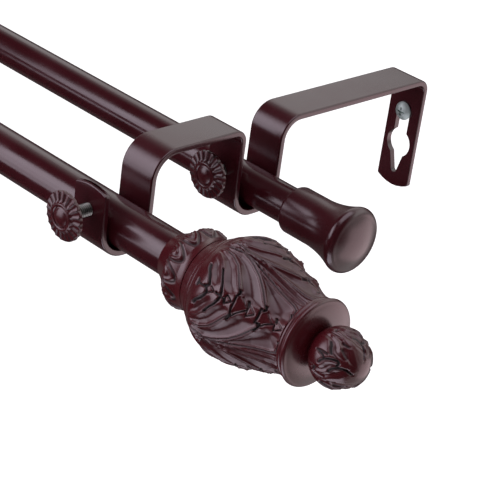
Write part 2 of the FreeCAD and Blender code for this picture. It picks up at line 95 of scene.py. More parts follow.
class StrapSettings(bpy.types.PropertyGroup):
    """Bent strap of the wall bracket"""
    thickness: length("Thickness", 3.0, "Thickness of the strap")
    edge: length("Edge round", 0.7, "Radius of the strap's softened edges")
    width: length("Cradle width", 23.2, "Inside width of both cradles")
    rear_cradle: length("Rear cradle bend", 9.4, "Inside radius of the rear cradle's corners")
    front_cradle: length("Front cradle bend", 10.7, "Inside radius of the front cradle's corners")
    wall_bend: length("Wall bend", 4.0, "Inside radius of the bend above the wall plate")
    rear_bend: length("Rear bend", 9.0, "Inside radius of the bend above the rear cradle")
    arch_bend: length("Arch bend", 4.0, "Inside radius of the short arm's wall-side bend")
    front_bend: length("Front bend", 11.0, "Inside radius of the short arm's front bend")
    leg_gap: length("Leg gap", 0.3, "Gap between a pole and the leg behind it")
    plate_crown: length("Plate crown", 3.0, "Drop of the wall plate's rounded lower end")
    tip_crown: length("Tip crown", 2.0, "Rise of the front leg's rounded upper end")
    tip_drop: length("Tip drop", 14.5, "How far the front leg's corners stay below the arm's top")
    slot: length("Keyhole slot", 8.2, "Width of the keyhole's slots")
    slot_tip: length("Keyhole tip", 3.4, "Width of the lower slot's narrow end")
    mouth: length("Keyhole mouth", 15.0, "Diameter of the keyhole's round mouth")
    mouth_drop: length("Mouth drop", 38.6, "How far the mouth's centre is below the arm's top")
    slot_drop: length("Slot drop", 55.3, "How far the lower slot's end is below the arm's top")
    screw_drop: length("Screw drop", 20.8, "How far the wall screw's centre is below the arm's top")
    screw_shank: length("Screw shank", 4.2, "Diameter of the wall screw's shank")
    thumb_drop: length("Thumbscrew drop", 24.5, "How far the thumbscrews are below the arm's top")


class WallScrewSettings(bpy.types.PropertyGroup):
    """Wall screw in the keyhole"""
    head: length("Head", 9.6, "Diameter of the head")
    rise: length("Rise", 3.0, "Height of the head")
    edge: length("Edge", 0.9, "Height of the head's upright edge")
    cross: length("Cross", 4.4, "Length of the cross recess")
    cross_width: length("Cross width", 0.9, "Width of the cross recess")
    cross_depth: length("Cross depth", 1.6, "Depth of the cross recess")


class ThumbscrewSettings(bpy.types.PropertyGroup):
    """Thumbscrews"""
    shank: length("Shank", 6.0, "Diameter of the threaded shank")
    pitch: length("Pitch", 1.0, "Pitch of the thread")
    thread: length("Thread depth", 0.55, "Depth of the thread")
    hub: length("Hub", 9.0, "Diameter of the knob's hub")
    hub_length: length("Hub length", 3.0, "Length of the knob's hub")
    rim: length("Rim thickness", 2.6, "Thickness of the rosette at its rim")
    ring: length("Ring", 11.8, "Diameter of the raised ring")
    ring_rise: length("Ring rise", 1.2, "Height of the raised ring over the rim")
    button: length("Button", 8.8, "Diameter of the domed button")
    button_rise: length("Button rise", 2.2, "Height of the button over the rim")
    flutes: IntProperty(name="Flutes", description="Number of flutes round the rosette", default=20, min=6)
    flute_depth: length("Flute depth", 0.85, "Depth of a flute at the rim")
    scallop: length("Scallop", 0.4, "Depth of the notches in the rim")


class FinialSettings(bpy.types.PropertyGroup):
    """Carved finial, along its axis from the end of the pole"""
    socket: length("Socket", 8.5, "Depth of the socket over the pole")
    lip: length("Lip", 0.85, "Thickness of the collar's lip")
    slope_end: length("Collar slope end", 1.0, "Where the collar's slope ends")
    slope: length("Collar slope", 34.1, "Diameter at the end of the collar's slope")
    collar_peak: length("Collar peak", 4.4, "Where the collar is widest")
    collar: length("Collar", 36.9, "Diameter of the collar")
    collar_end: length("Collar end", 9.5, "Where the collar meets the neck")
    neck: length("Neck", 34.7, "Diameter of the neck")
    groove: length("Groove", 13.2, "Where the neck's groove starts")
    groove_width: length("Groove width", 0.8, "Width of the neck's groove")
    groove_depth: length("Groove depth", 0.9, "Depth of the neck's groove")
    body_start: length("Body start", 10.0, "Where the body starts to swell")
    carving_start: length("Carving start", 25.5, "Where the leaves start")
    body_end: length("Body end", 71.5, "Where the leaves end")
    body_end_diameter: length("Body end diameter", 36.8, "Diameter of the body at its end")
    swell: length("Swell", 9.9, "How far the body swells over its two ends")
    swell_peak: length("Swell peak", 34.0, "Where the body is widest")
    disc: length("Disc", 39.4, "Diameter of the disc")
    disc_thickness: length("Disc thickness", 6.1, "Length of the disc and its band")
    disc_edge: length("Disc edge", 1.4, "Radius of the disc's edge")
    disc_slope: length("Disc slope", 1.6, "How far the disc's face slopes back to its edge")
    disc_dome: length("Disc dome", 0.6, "How full the disc's face is")
    ball: length("Ball", 26.0, "Diameter of the ball")
    ball_neck: length("Ball neck", 14.0, "Diameter where the ball meets the disc")
    leaves: IntProperty(name="Leaves", description="Leaves round the body", default=4, min=2)
    first_leaf: angle("First leaf", 107.0, "Angle of the first leaf's midrib about the pole")
    flute: length("Flute", 1.9, "Depth of the hollow along a lobe")
    cut: amount("Cuts", 1.0, "Depth of the cuts between the leaves' teeth")
    rim: length("Rim", 0.45, "Rise of the thin rim on each side of a lobe's edge")
    petals: IntProperty(name="Petals", description="Petals round the collar", default=12, min=4)
    petal_rise: length("Petal rise", 1.0, "Relief of the collar's petals")


class CapSettings(bpy.types.PropertyGroup):
    """End cap of the rear pole, along its axis from its lip"""
    sleeve: length("Sleeve", 23.2, "Diameter of the sleeve")
    lip: length("Lip round", 2.4, "Radius of the lip")
    sleeve_length: length("Sleeve length", 16.0, "Length of the straight sleeve")
    flare: length("Flare length", 34.0, "Where the flare ends")
    hollow: length("Flare hollow", 0.9, "How hollow the flare's outline is")
    rim: length("Rim", 31.4, "Diameter of the rim")
    rim_width: length("Rim width", 5.0, "Width of the rim")
    rim_drop: length("Rim drop", 2.4, "How much the rim's far edge is smaller in radius")
    rim_bulge: length("Rim bulge", 1.35, "How full the rim's outline is")
    dome: length("Dome", 2.7, "Rise of the domed end")


class FinishSettings(bpy.types.PropertyGroup):
    """Colours of the finishes"""
    paint: colour("Paint", (0.033, 0.0038, 0.0062), "Dark red-brown enamel on every painted piece")
    # The deep colour below is painted shade: the enamel is darkened towards it in crevices and hollows,
    # where shade falls.
    painted_shade: colour("Painted shade", (0.007, 0.0010, 0.0016), "The enamel in crevices and hollows")
    zinc: colour("Zinc", (0.28, 0.29, 0.26), "Zinc plating on the threaded pieces")
    screw: colour("Screw", (0.56, 0.66, 0.62), "Pale plating on the wall screws")
    plastic: colour("Plug plastic", (0.03, 0.03, 0.032), "Moulded plug inside the front pole")


class StageSettings(bpy.types.PropertyGroup):
    """Camera, floor and light"""
    view_azimuth: angle("View azimuth", 42.0446, "Camera's bearing about the object")
    view_elevation: angle("View elevation", 27.2422, "Camera's height above the horizon")
    view_roll: angle("View roll", 8.2623, "Camera's roll")
    floor_drop: length("Floor drop", 1000.0, "How far the floor is below the poles")
    floor_depth: length("Floor depth", 900.0, "How far behind the wall plane the floor is flat")
    sweep: length("Sweep", 600.0, "Radius of the sweep from floor to backdrop")
    panel: amount("Panel", 3.7, "Brightness of the left panel's middle")
    panel_shift: amount("Panel shift", 0.33, "How far the left panel is moved to the front")
    low_panel: amount("Low panel", 2.8, "Brightness of the panel below")
    overhead: amount("Overhead panel", 2.2, "Brightness of the panel overhead")
    card: amount("Right card", 1.4, "Brightness of the card behind at the right")
    card_colour: colour("Card colour", (1.0, 0.66, 0.72), "Tint of the card")
    panel_colour: colour("Panel colour", (0.97, 0.87, 1.0), "Tint of the soft panel")
    paper: colour("Paper", (0.86, 0.86, 0.86), "Pale floor and backdrop")


SETTINGS = (TubeSettings, StrapSettings, WallScrewSettings, ThumbscrewSettings, FinialSettings,
            CapSettings, FinishSettings, StageSettings)


def settings(group):
    return getattr(bpy.context.scene, group.__name__)


# Mesh building


def outline(start, *moves, steps=8):
    """Points (along, radius) of an outline: a move's third number makes it an arc with that bulge."""
    points = [Vector(start)]
    for move in moves:
        here = points[-1]
        end = Vector(move[:2])
        bulge = move[2] if len(move) == 3 else 0.0
        if abs(bulge) < 1e-9:
            points.append(end)
            continue
        chord = end - here
        side = Vector((-chord.y, chord.x)).normalized()
        half = chord.length / 2
        radius = (half ** 2 + bulge ** 2) / (2 * bulge)
        centre = (here + end) / 2 + side * (bulge - radius)
        swing = 2 * math.atan2(half, radius - bulge) if bulge > 0 else -2 * math.atan2(half, bulge - radius)
        for step in range(1, steps + 1):
            points.append(centre + Matrix.Rotation(-swing * step / steps, 2) @ (here - centre))
    return [(p.x, max(p.y, 0.0)) for p in points]


def dome(base, rim, rise):
    """Last move of an outline that closes on the axis with a dome."""
    sphere = (rim ** 2 + rise ** 2) / (2 * rise)
    return (base + rise, 0.0, sphere - math.sqrt(sphere ** 2 - (rim ** 2 + rise ** 2) / 4))


def eased(low, high, values):
    """0 up to low and 1 from high on, with a soft start and end."""
    part = np.clip((values - low) / (high - low), 0.0, 1.0)
    return part * part * (3 - 2 * part)


def circle(count):
    return np.arange(count) * math.tau / count


def to_scene(name, data, place=Matrix.Identity(4)):
    made = bpy.data.objects.new(name, data)
    made.matrix_world = place
    bpy.context.scene.collection.objects.link(made)
    return made


class Shape:
    """Vertices and faces of one piece while it is being built."""

    def __init__(self):
        self.points = []
        self.faces = []
        # How hollow each vertex is, which the finish darkens as painted shade
        self.shade_amounts = []

    def add(self, point, depth=0.0):
        self.points.append(Vector(point))
        self.shade_amounts.append(depth)
        return len(self.points) - 1

    def quad_rows(self, rows):
        """Faces between neighbouring closed rows of vertex numbers."""
        for row, following in zip(rows, rows[1:]):
            for corners in zip(row, row[1:] + row[:1], following[1:] + following[:1], following):
                face = list(dict.fromkeys(corners))
                if len(face) > 2:
                    self.faces.append(face)

    def rings(self, along, radius, hollow):
        """Rings about the X axis from (row, turn) arrays. A ring without a radius is one point."""
        turns = circle(along.shape[1])
        places = np.stack((along, radius * np.cos(turns), radius * np.sin(turns)), axis=2)
        rows = []
        for size, ring, shade_amounts in zip(radius, places, hollow):
            if size[0] < 1e-7:
                rows.append([self.add(ring[0])] * len(ring))
            else:
                rows.append([self.add(point, depth) for point, depth in zip(ring, shade_amounts)])
        self.quad_rows(rows)

    def lathe(self, points, segments=96, relief=None, carved=(0, 0)):
        """Turns an outline about the X axis. relief(x, turn) gives (height, hollow) over the carved rows;
        hollow is the strength of the painted shade there.
        """
        profile = np.array(points)
        along, radius = (np.repeat(profile[:, i:i + 1], segments, axis=1) for i in (0, 1))
        hollow = np.zeros_like(along)
        if relief:
            rows = slice(*carved)
            run, climb = np.gradient(profile[rows], axis=0).T
            size = np.hypot(run, climb)
            height, hollow[rows] = relief(along[rows], circle(segments))
            along[rows] -= height * (climb / size)[:, None]
            radius[rows] += height * (run / size)[:, None]
        self.rings(along, radius, hollow)

    def mesh(self, name, place=Matrix.Identity(4)):
        """Welded mesh with its normals outwards, and in an attribute how hollow each place is, the strength
        of its painted shade.
        """
        mesh = bpy.data.meshes.new(name)
        mesh.from_pydata([place @ point for point in self.points], [], self.faces)
        mesh.attributes.new("hollow", "FLOAT", "POINT").data.foreach_set("value", self.shade_amounts)
        build = bmesh.new()
        build.from_mesh(mesh)
        bmesh.ops.remove_doubles(build, verts=build.verts, dist=1e-6)
        bmesh.ops.recalc_face_normals(build, faces=build.faces)
        build.to_mesh(mesh)
        build.free()
        return mesh

    def piece(self, name, body, coat, slot_name, replaced, placed, sharp=SHARP):
        """Makes the object, gives it its finish and hands it to the body it rides on."""
        mesh = self.mesh(name, placed)
        mesh.shade_smooth()
        mesh.set_sharp_from_angle(angle=math.radians(sharp))
        mesh.materials.append(coat)
        made = to_scene(name, mesh)
        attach(made, body)
        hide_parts(replaced)
        return made


def middle_of(name):
    low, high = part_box(name)
    return (low + high) / 2


def radius_of(name):
    low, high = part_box(name)
    return (high.z - low.z) / 2


def along_pole(name, x, facing):
    """Frame of a piece that is built along +X: its origin goes to x on the node's own axis."""
    middle = middle_of(name)
    turn = Matrix.Rotation(0.0 if facing > 0 else math.pi, 4, "Z")
    return Matrix.Translation((x, middle.y, middle.z)) @ turn


def from_wall(name, y):
    """Frame of a piece that is built along +X and points away from the wall."""
    middle = middle_of(name)
    return Matrix.Translation((middle.x, y, middle.z)) @ Matrix.Rotation(-math.pi / 2, 4, "Z")


def prism(points, near, far):
    """Closed prism along Y from an outline of (x, z) points, used as a cutter."""
    shape = Shape()
    rows = [[shape.add((x, y, z)) for x, z in points] for y in (near, far)]
    shape.quad_rows(rows)
    shape.faces += rows
    return to_scene("cutter", shape.mesh("cutter"))


def cut_away(piece, cutters):
    """Cuts the cutters out of the piece's own mesh and removes them."""
    for cutter in cutters:
        step = piece.modifiers.new("cut", "BOOLEAN")
        step.operation = "DIFFERENCE"
        step.solver = "EXACT"
        step.object = cutter
    bpy.context.view_layer.update()
    piece.data = bpy.data.meshes.new_from_object(
        piece.evaluated_get(bpy.context.evaluated_depsgraph_get()))
    piece.modifiers.clear()
    piece.data.set_sharp_from_angle(angle=math.radians(SHARP))
    for cutter in cutters:
        bpy.data.objects.remove(cutter)


# Finishes


def feed(made, inputs):
    """Sets each input of a shader node to a value, or links it to the socket it is given."""
    for key, given in inputs.items():
        if isinstance(given, bpy.types.NodeSocket):
            made.id_data.links.new(given, made.inputs[key])
        else:
            made.inputs[key].default_value = given


def node(tree, kind, inputs=None, **options):
    made = tree.nodes.new(kind)
    for option, value in options.items():
        setattr(made, option, value)
    feed(made, inputs or {})
    return made


def object_place(tree):
    return node(tree, "ShaderNodeTexCoord").outputs["Object"]


def noise(tree, place, scale, detail, roughness=0.5):
    return node(tree, "ShaderNodeTexNoise", {"Vector": place, "Scale": scale, "Detail": detail,
                                             "Roughness": roughness}).outputs["Fac"]


def ranged(tree, value, span, result, **options):
    """Maps a value from one span of numbers to another."""
    return node(tree, "ShaderNodeMapRange", dict(enumerate((value, *span, *result))), **options).outputs[0]


def worked(tree, operation, *values):
    return node(tree, "ShaderNodeMath", dict(enumerate(values)), operation=operation).outputs[0]


def scaled(tree, tone, amount):
    """A colour times a number."""
    return node(tree, "ShaderNodeVectorMath", {0: tone, "Scale": amount}, operation="SCALE").outputs[0]


COLOUR, VALUE = "NodeSocketColor", "NodeSocketFloat"


def finish_group(name, inputs, fill):
    """Node group of a finish, filled on first use: named inputs, and colour, roughness and height out."""
    if name not in bpy.data.node_groups:
        group = bpy.data.node_groups.new(name, "ShaderNodeTree")
        outputs = {"Colour": COLOUR, "Roughness": VALUE, "Height": VALUE}
        for direction, sockets in (("INPUT", inputs), ("OUTPUT", outputs)):
            for label, kind in sockets.items():
                group.interface.new_socket(name=label, in_out=direction, socket_type=kind)
        given = group.nodes.new("NodeGroupInput").outputs
        feed(group.nodes.new("NodeGroupOutput"), fill(group, given))
    return bpy.data.node_groups[name]


def sprayed_enamel(group, given):
    """Fine orange peel and cloudy colour, with a duller surface in hollows and painted shade there, a mix
    towards the dark shade colour.
    """
    place = object_place(group)
    cloud = noise(group, place, 38.0, 4.0, 0.55)
    peel = noise(group, place, given["Peel scale"], 2.0)
    speck = noise(group, place, 2600.0, 1.0)
    toned = scaled(group, given["Paint"], ranged(group, cloud, (0.3, 0.7), (0.88, 1.12)))
    # Painted shade: the colour is mixed towards the dark shade colour as far as the place is hollow.
    mix = node(group, "ShaderNodeMix", data_type="RGBA")
    feed(mix, {"Factor": given["Hollow shade"], "A": toned, "B": given["Painted shade"]})
    rough = worked(group, "ADD", given["Roughness"], ranged(group, cloud, (0.25, 0.75), (-0.05, 0.06)))
    return {"Colour": mix.outputs["Result"],
            "Roughness": worked(group, "MULTIPLY_ADD", given["Hollow shade"], 0.45, rough),
            "Height": worked(group, "MULTIPLY_ADD", speck, 0.25, peel)}


def cloudy_plating(group, given):
    """Cloudy zinc plating, darkened in hollows by painted shade."""
    cloud = noise(group, object_place(group), given["Cloud scale"], 5.0, 0.6)
    toned = scaled(group, given["Metal"], ranged(group, cloud, (0.3, 0.7), (0.72, 1.08)))
    # Painted shade: the colour falls to an eighth in the hollows.
    return {"Colour": scaled(group, toned, ranged(group, given["Hollow shade"], (0.0, 1.0), (1.0, 0.12))),
            "Roughness": worked(group, "MULTIPLY_ADD", cloud, 0.25, given["Roughness"]),
            "Height": cloud}


def finish(name, fill):
    """The material of that name, filled on first use by fill(tree, shader)."""
    made = bpy.data.materials.get(name)
    if made is None:
        made = bpy.data.materials.new(name)
        made.use_nodes = True
        fill(made.node_tree, made.node_tree.nodes["Principled BSDF"])
    return made


def bumped(shader, height, strength, distance):
    bump = node(shader.id_data, "ShaderNodeBump",
                {"Height": height, "Strength": strength, "Distance": distance})
    feed(shader, {"Normal": bump.outputs["Normal"]})


def coated(shader, group, inputs, strength, distance):
    """Gives a shader the colour, roughness and fine relief of a finish group."""
    tree = shader.id_data
    coat = node(tree, "ShaderNodeGroup", node_tree=group)
    # How hollow the place is: the mask of the painted shade in the finish
    hollow = node(tree, "ShaderNodeAttribute", attribute_name="hollow").outputs["Fac"]
    feed(coat, {"Hollow shade": hollow, **inputs})
    feed(shader, {"Base Color": coat.outputs["Colour"], "Roughness": coat.outputs["Roughness"]})
    bumped(shader, coat.outputs["Height"], strength, distance)


# Kinds of enamel: roughness, scale and depth in metres of the orange peel, and strength of the red
ENAMELS = {
    "pole": (0.2, 700.0, 0.00002, 1.0),
    "strap": (0.23, 900.0, 0.00004, 1.0),
    "knob": (0.3, 800.0, 0.00005, 1.35),
    "carving": (0.26, 800.0, 0.00003, 1.5),
    "cap": (0.24, 800.0, 0.00003, 1.05),
}


def enamel(kind):
    """Dark enamel finish of one kind of painted piece."""
    roughness, peel_scale, peel_depth, warmth = ENAMELS[kind]
    tones = settings(FinishSettings)
    red, green, blue = tones.paint

    def fill(tree, shader):
        group = finish_group("sprayed enamel", {"Paint": COLOUR, "Painted shade": COLOUR, "Hollow shade": VALUE,
                                                "Peel scale": VALUE, "Roughness": VALUE}, sprayed_enamel)
        coated(shader, group, {"Paint": (red * warmth, green, blue, 1.0), "Roughness": roughness,
                               "Painted shade": (*tones.painted_shade, 1.0), "Peel scale": peel_scale},
               0.35, peel_depth)
        feed(shader, {"IOR": 1.55})

    return finish(kind + " enamel", fill)


def plating(name, tone, roughness, cloud_scale):
    """Metal plating in one tone."""
    def fill(tree, shader):
        group = finish_group("plating", {"Metal": COLOUR, "Roughness": VALUE, "Cloud scale": VALUE,
                                         "Hollow shade": VALUE}, cloudy_plating)
        coated(shader, group, {"Metal": (*tone, 1.0), "Roughness": roughness, "Cloud scale": cloud_scale},
               0.2, 0.00003)
        feed(shader, {"Metallic": 1.0})

    return finish(name + " plating", fill)


def zinc():
    return plating("zinc", settings(FinishSettings).zinc, 0.3, 500.0)


def plug_plastic():
    """Dull moulded plastic with a fine grain."""
    def fill(tree, shader):
        grain = noise(tree, object_place(tree), 1500.0, 3.0)
        feed(shader, {"Base Color": (*settings(FinishSettings).plastic, 1.0),
                      "Roughness": ranged(tree, grain, (0.3, 0.7), (0.45, 0.6))})
        bumped(shader, grain, 0.3, 0.00005)

    return finish("plug plastic", fill)


# Poles


class POLE_OT_tubes(bpy.types.Operator):
    """Builds the four telescoping tubes with softened ends"""
    bl_idname = "curtain_pole.tubes"
    bl_label = "Tubes"

    def execute(self, context):
        tube = settings(TubeSettings)
        soft = tube.soft
        for pole in POLES:
            for section, body in (("outer", "right_end"), ("inner", "left_end")):
                name = pole + "_" + section + "_tube"
                low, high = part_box(name)
                radius = radius_of(name)
                far = high.x - low.x
                bore = radius - tube.wall
                shape = Shape()
                shape.lathe(outline((0.0, bore), (0.0, radius - soft), (soft, radius, QUARTER * soft),
                                    (soft * 2, radius), (far - soft * 2, radius), (far - soft, radius),
                                    (far, radius - soft, QUARTER * soft), (far, bore), (0.0, bore), steps=4))
                shape.piece(name + "_skin", body, enamel("pole"), "painted_steel", name,
                            along_pole(name, low.x, 1))
        return {"FINISHED"}


# Brackets


def bent_path(corners, offset, bend_steps=10):
    """Places of the strap's middle line in the YZ plane, as (point, direction), with its bends rounded."""
    stations = []
    for index, (y, z, radius) in enumerate(corners):
        here = Vector((y, z))
        if index in (0, len(corners) - 1):
            other = Vector(corners[1 if index == 0 else -2][:2])
            way = (other - here).normalized() * (1 if index == 0 else -1)
            stations.append((here + Vector((-way.y, way.x)) * offset, way))
            continue
        before = (here - Vector(corners[index - 1][:2])).normalized()
        after = (Vector(corners[index + 1][:2]) - here).normalized()
        side = 1 if before.x * after.y - before.y * after.x > 0 else -1
        centre = here - before * radius + Vector((-before.y, before.x)) * side * radius
        arm = here - before * radius - centre
        start = math.atan2(arm.y, arm.x)
        for step in range(bend_steps + 1):
            swing = start + side * (math.pi / 2) * step / bend_steps
            out = Vector((math.cos(swing), math.sin(swing)))
            stations.append((centre + out * (radius - side * offset), Vector((-out.y, out.x)) * side))
    return stations


def strap_section(width, thickness, edge):
    """Points (across, through) round the strap's section, with support loops beside its soft edges."""
    half, core = width / 2, thickness / 2
    inset = half - edge - 0.15 * MM
    flat = [inset] + [half * part for part in (0.66, 0.33, 0.0, -0.33, -0.66)] + [-inset]
    points = []
    for sx, sz, first in ((1, -1, -90), (1, 1, 0), (-1, 1, 90), (-1, -1, 180)):
        for step in range(6):
            swing = math.radians(first + 90 * step / 5)
            points.append((sx * (half - edge) + edge * math.cos(swing),
                           sz * (core - edge) + edge * math.sin(swing)))
        if sx == sz:
            points += [(sx * across, sz * core) for across in flat]
    return points


class POLE_OT_brackets(bpy.types.Operator):
    """Bends the two wall brackets from one strap each"""
    bl_idname = "curtain_pole.brackets"
    bl_label = "Brackets"

    def execute(self, context):
        for end in ENDS:
            self.bracket(end)
        return {"FINISHED"}

    def bracket(self, end):
        strap = settings(StrapSettings)
        name = "bracket_" + end
        low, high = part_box(name)
        top = high.z
        middle = (low.x + high.x) / 2
        thickness = strap.thickness
        front, rear = "front_outer_tube", "rear_outer_tube"
        tube = "outer" if end == "right" else "inner"
        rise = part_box(front)[1].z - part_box("front_" + tube + "_tube")[1].z
        floor = middle_of(front).z - radius_of(front) - 0.05 * MM + rise
        rear_leg, front_leg = (middle_of(pole).y + radius_of(pole) + strap.leg_gap for pole in (rear, front))
        inner = strap.width
        corners = [
            (0.0, low.z, 0.0),
            (0.0, top, strap.wall_bend + thickness),
            (rear_leg, top, strap.rear_bend + thickness),
            (rear_leg, floor, strap.rear_cradle),
            (rear_leg - inner, floor, strap.rear_cradle),
            (rear_leg - inner, top, strap.arch_bend + thickness),
            (front_leg, top, strap.front_bend + thickness),
            (front_leg, floor, strap.front_cradle),
            (front_leg - inner, floor, strap.front_cradle),
            (front_leg - inner, top - strap.tip_drop + strap.tip_crown, 0.0),
        ]
        stations = bent_path(corners, thickness / 2)
        section = strap_section(high.x - low.x, thickness, strap.edge)
        edge = strap.edge
        half = (high.x - low.x) / 2
        shape = Shape()

        def row(point, way, inset=0.0, crown=0.0):
            out = Vector((-way.y, way.x))
            numbers = []
            for across, through in section:
                across *= 1 - inset / half
                through *= 1 - inset / (thickness / 2)
                place = point + out * through + way * crown * (across / half) ** 2
                numbers.append(shape.add((across, place.x, place.y)))
            return numbers

        def tip(station, inwards, crown):
            """Rows of a crowned end with a soft edge, from its tip inwards."""
            point, way = station
            rows = []
            for step in range(4, -1, -1):
                swing = math.radians(90 * step / 4)
                rows.append(row(point + way * inwards * edge * (1 - math.sin(swing)), way,
                                edge * (1 - math.cos(swing)), inwards * crown))
            return rows + [row(point + way * inwards * (crown + 2 * edge), way)]

        rows = (tip(stations[0], 1, strap.plate_crown) + [row(*station) for station in stations[1:-1]]
                + tip(stations[-1], -1, strap.tip_crown)[::-1])
        shape.quad_rows(rows)
        shape.faces += [rows[0], rows[-1]]
        made = shape.piece(name + "_strap", end + "_end", enamel("strap"), "painted_strap", name,
                           Matrix.Translation((middle, 0.0, 0.0)))
        cutters = [self.keyhole(strap, top, middle, thickness)]
        hole = settings(ThumbscrewSettings).shank / 2 + 0.05 * MM
        cutters += [self.rod(hole, Vector((middle, leg - inner - thickness / 2, top - strap.thumb_drop)),
                             2 * thickness) for leg in (rear_leg, front_leg)]
        cut_away(made, cutters)

    def keyhole(self, strap, top, middle, depth):
        """Keyhole cutter: two round-ended slots and a round mouth."""
        radius = strap.slot / 2
        upper = top - strap.screw_drop + strap.screw_shank / 2 + 0.1 * MM - radius
        tip = strap.slot_tip / 2
        lower = top - strap.slot_drop + tip
        centre = top - strap.mouth_drop
        mouth = strap.mouth / 2
        lean = math.degrees(math.asin(radius / mouth))
        points = []
        for z, size, first, last, steps in (
                (upper, radius, 0, 180, 16), (centre, mouth, 90 + lean, 270 - lean, 20),
                (lower, tip, 190, 350, 10), (centre, mouth, -90 + lean, 90 - lean, 20)):
            for step in range(steps + 1):
                swing = math.radians(first + (last - first) * step / steps)
                points.append((middle + size * math.cos(swing), z + size * math.sin(swing)))
        return prism(points, -2 * depth, 2 * depth)

    def rod(self, radius, centre, depth):
        points = [(centre.x + radius * math.cos(turn), centre.z + radius * math.sin(turn))
                  for turn in circle(40)]
        return prism(points, centre.y - depth, centre.y + depth)


# Screws


class POLE_OT_wall_screws(bpy.types.Operator):
    """Builds the domed heads and shanks of the two wall screws"""
    bl_idname = "curtain_pole.wall_screws"
    bl_label = "Wall screws"

    def execute(self, context):
        screw = settings(WallScrewSettings)
        shank = settings(StrapSettings).screw_shank / 2
        head = screw.head / 2
        soft = 0.35 * MM
        for end in ENDS:
            name = "wall_screw_" + end
            low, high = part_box(name)
            reach = high.y - low.y - screw.rise
            shape = Shape()
            shape.lathe(outline((-reach, 0.0), (-reach * 0.69, shank), (0.0, shank), (0.0, head - soft),
                                (soft, head, QUARTER * soft), (screw.edge, head),
                                dome(screw.edge, head, screw.rise - screw.edge)), segments=64)
            made = shape.piece(name + "_metal", end + "_end",
                               plating("screw", settings(FinishSettings).screw, 0.5, 350.0), "zinc_steel",
                               name, from_wall(name, low.y + screw.rise))
            middle = middle_of(name)
            half = screw.cross / 2
            slim = screw.cross_width / 2
            arm = [(-slim, half), (-slim, slim), (-half, slim)]
            cross = arm + [(x, -z) for x, z in reversed(arm)]
            cross += [(-x, -z) for x, z in cross]
            cutter = prism([(middle.x + x, middle.z + z) for x, z in cross], low.y - screw.rise,
                           low.y + screw.cross_depth)
            cut_away(made, [cutter])
        return {"FINISHED"}


class POLE_OT_shanks(bpy.types.Operator):
    """Cuts a real thread on each thumbscrew's shank"""
    bl_idname = "curtain_pole.shanks"
    bl_label = "Threaded shanks"

    def execute(self, context):
        thumb = settings(ThumbscrewSettings)
        segments = 40
        rows_per_turn = 10
        for spot in THUMBSCREWS:
            name = "thumb_shank_" + spot
            low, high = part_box(name)
            far = high.y - low.y
            x = np.linspace(0.0, far, int(far / thumb.pitch * rows_per_turn) + 1)[:, None]
            phase = (x / thumb.pitch - np.arange(segments) / segments) % 1.0
            depth = 1 - np.minimum(np.abs(2 * phase - 1) * 1.35, 1.0)
            radius = (thumb.shank / 2 - thumb.thread * depth) * (0.88 + 0.12 * eased(0.0, 0.5 * MM, x))
            radius, depth = (np.pad(rows, ((1, 1), (0, 0))) for rows in (radius, depth))
            along = np.pad(x, ((1, 1), (0, 0)), mode="edge") + np.zeros(segments)
            shape = Shape()
            # The thread depth also darkens the thread's roots as painted shade
            shape.rings(along, radius, depth)
            shape.piece(name + "_thread", spot + "_shank", zinc(), "zinc_steel", name,
                        from_wall(name, high.y), sharp=50.0)
        return {"FINISHED"}


class POLE_OT_knobs(bpy.types.Operator):
    """Builds the rosette heads of the four thumbscrews"""
    bl_idname = "curtain_pole.knobs"
    bl_label = "Rosette knobs"

    def execute(self, context):
        for spot in THUMBSCREWS:
            self.knob(settings(ThumbscrewSettings), spot)
        return {"FINISHED"}

    def knob(self, thumb, spot):
        name = "thumb_knob_" + spot
        low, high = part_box(name)
        rim = (high.x - low.x) / 2
        hub = thumb.hub / 2
        ring = thumb.ring / 2
        button = thumb.button / 2
        back = thumb.hub_length
        front = back + thumb.rim
        crest = front + thumb.ring_rise
        soft = 0.55 * MM
        shoulder = 0.5 * MM
        groove = crest - 0.6 * MM
        fillet = 0.8 * MM
        blind = 4.5 * MM
        bore = thumb.shank / 2 + 0.05 * MM
        points = outline((blind, 0.0), (blind, bore), (0.0, bore), (0.0, hub - 0.3 * MM),
                         (0.3 * MM, hub, QUARTER * 0.3 * MM), (back - fillet, hub),
                         (back, hub + fillet, -QUARTER * fillet), (back, rim - soft),
                         (back + soft, rim, QUARTER * soft), (front - soft, rim),
                         (front, rim - soft, QUARTER * soft), steps=5)
        slope = 9
        for step in range(1, slope + 1):
            t = step / slope
            points.append((front + (crest - shoulder - front) * t,
                           rim - soft + (ring + shoulder - rim + soft) * t))
        points += outline((crest - shoulder, ring + shoulder), (crest, ring - 0.1 * MM, 0.12 * MM),
                          (groove, button + 0.3 * MM, 0.2 * MM), (groove, button + 0.05 * MM),
                          dome(groove, button, front + thumb.button_rise - groove), steps=8)[1:]
        # Flutes on the face and notches in the rim
        x, radius = np.array(points).T[:, :, None]
        facing = x >= back - 1e-7
        wave = np.abs(np.sin(thumb.flutes * circle(thumb.flutes * 12) / 2))
        outside = eased(ring + 0.35 * MM, ring + 1.6 * MM, radius) * facing
        outside *= eased(back + 0.2 * MM, front, x)
        depth = thumb.flute_depth * outside * wave ** 0.7 * (0.45 + 0.55 * radius / rim)
        notch = thumb.scallop * (1 - wave) ** 1.6 * eased(rim - 1.6 * MM, rim, radius) * facing
        shape = Shape()
        # Painted shade: dark lines along the edges between the flutes and in the rim's notches
        shape.rings(x - depth, radius - notch, 0.55 * (1 - wave) ** 2 * outside)
        shape.piece(name + "_rosette", spot + "_knob", enamel("knob"), "painted_casting", name,
                    from_wall(name, high.y), sharp=40.0)


# Finials


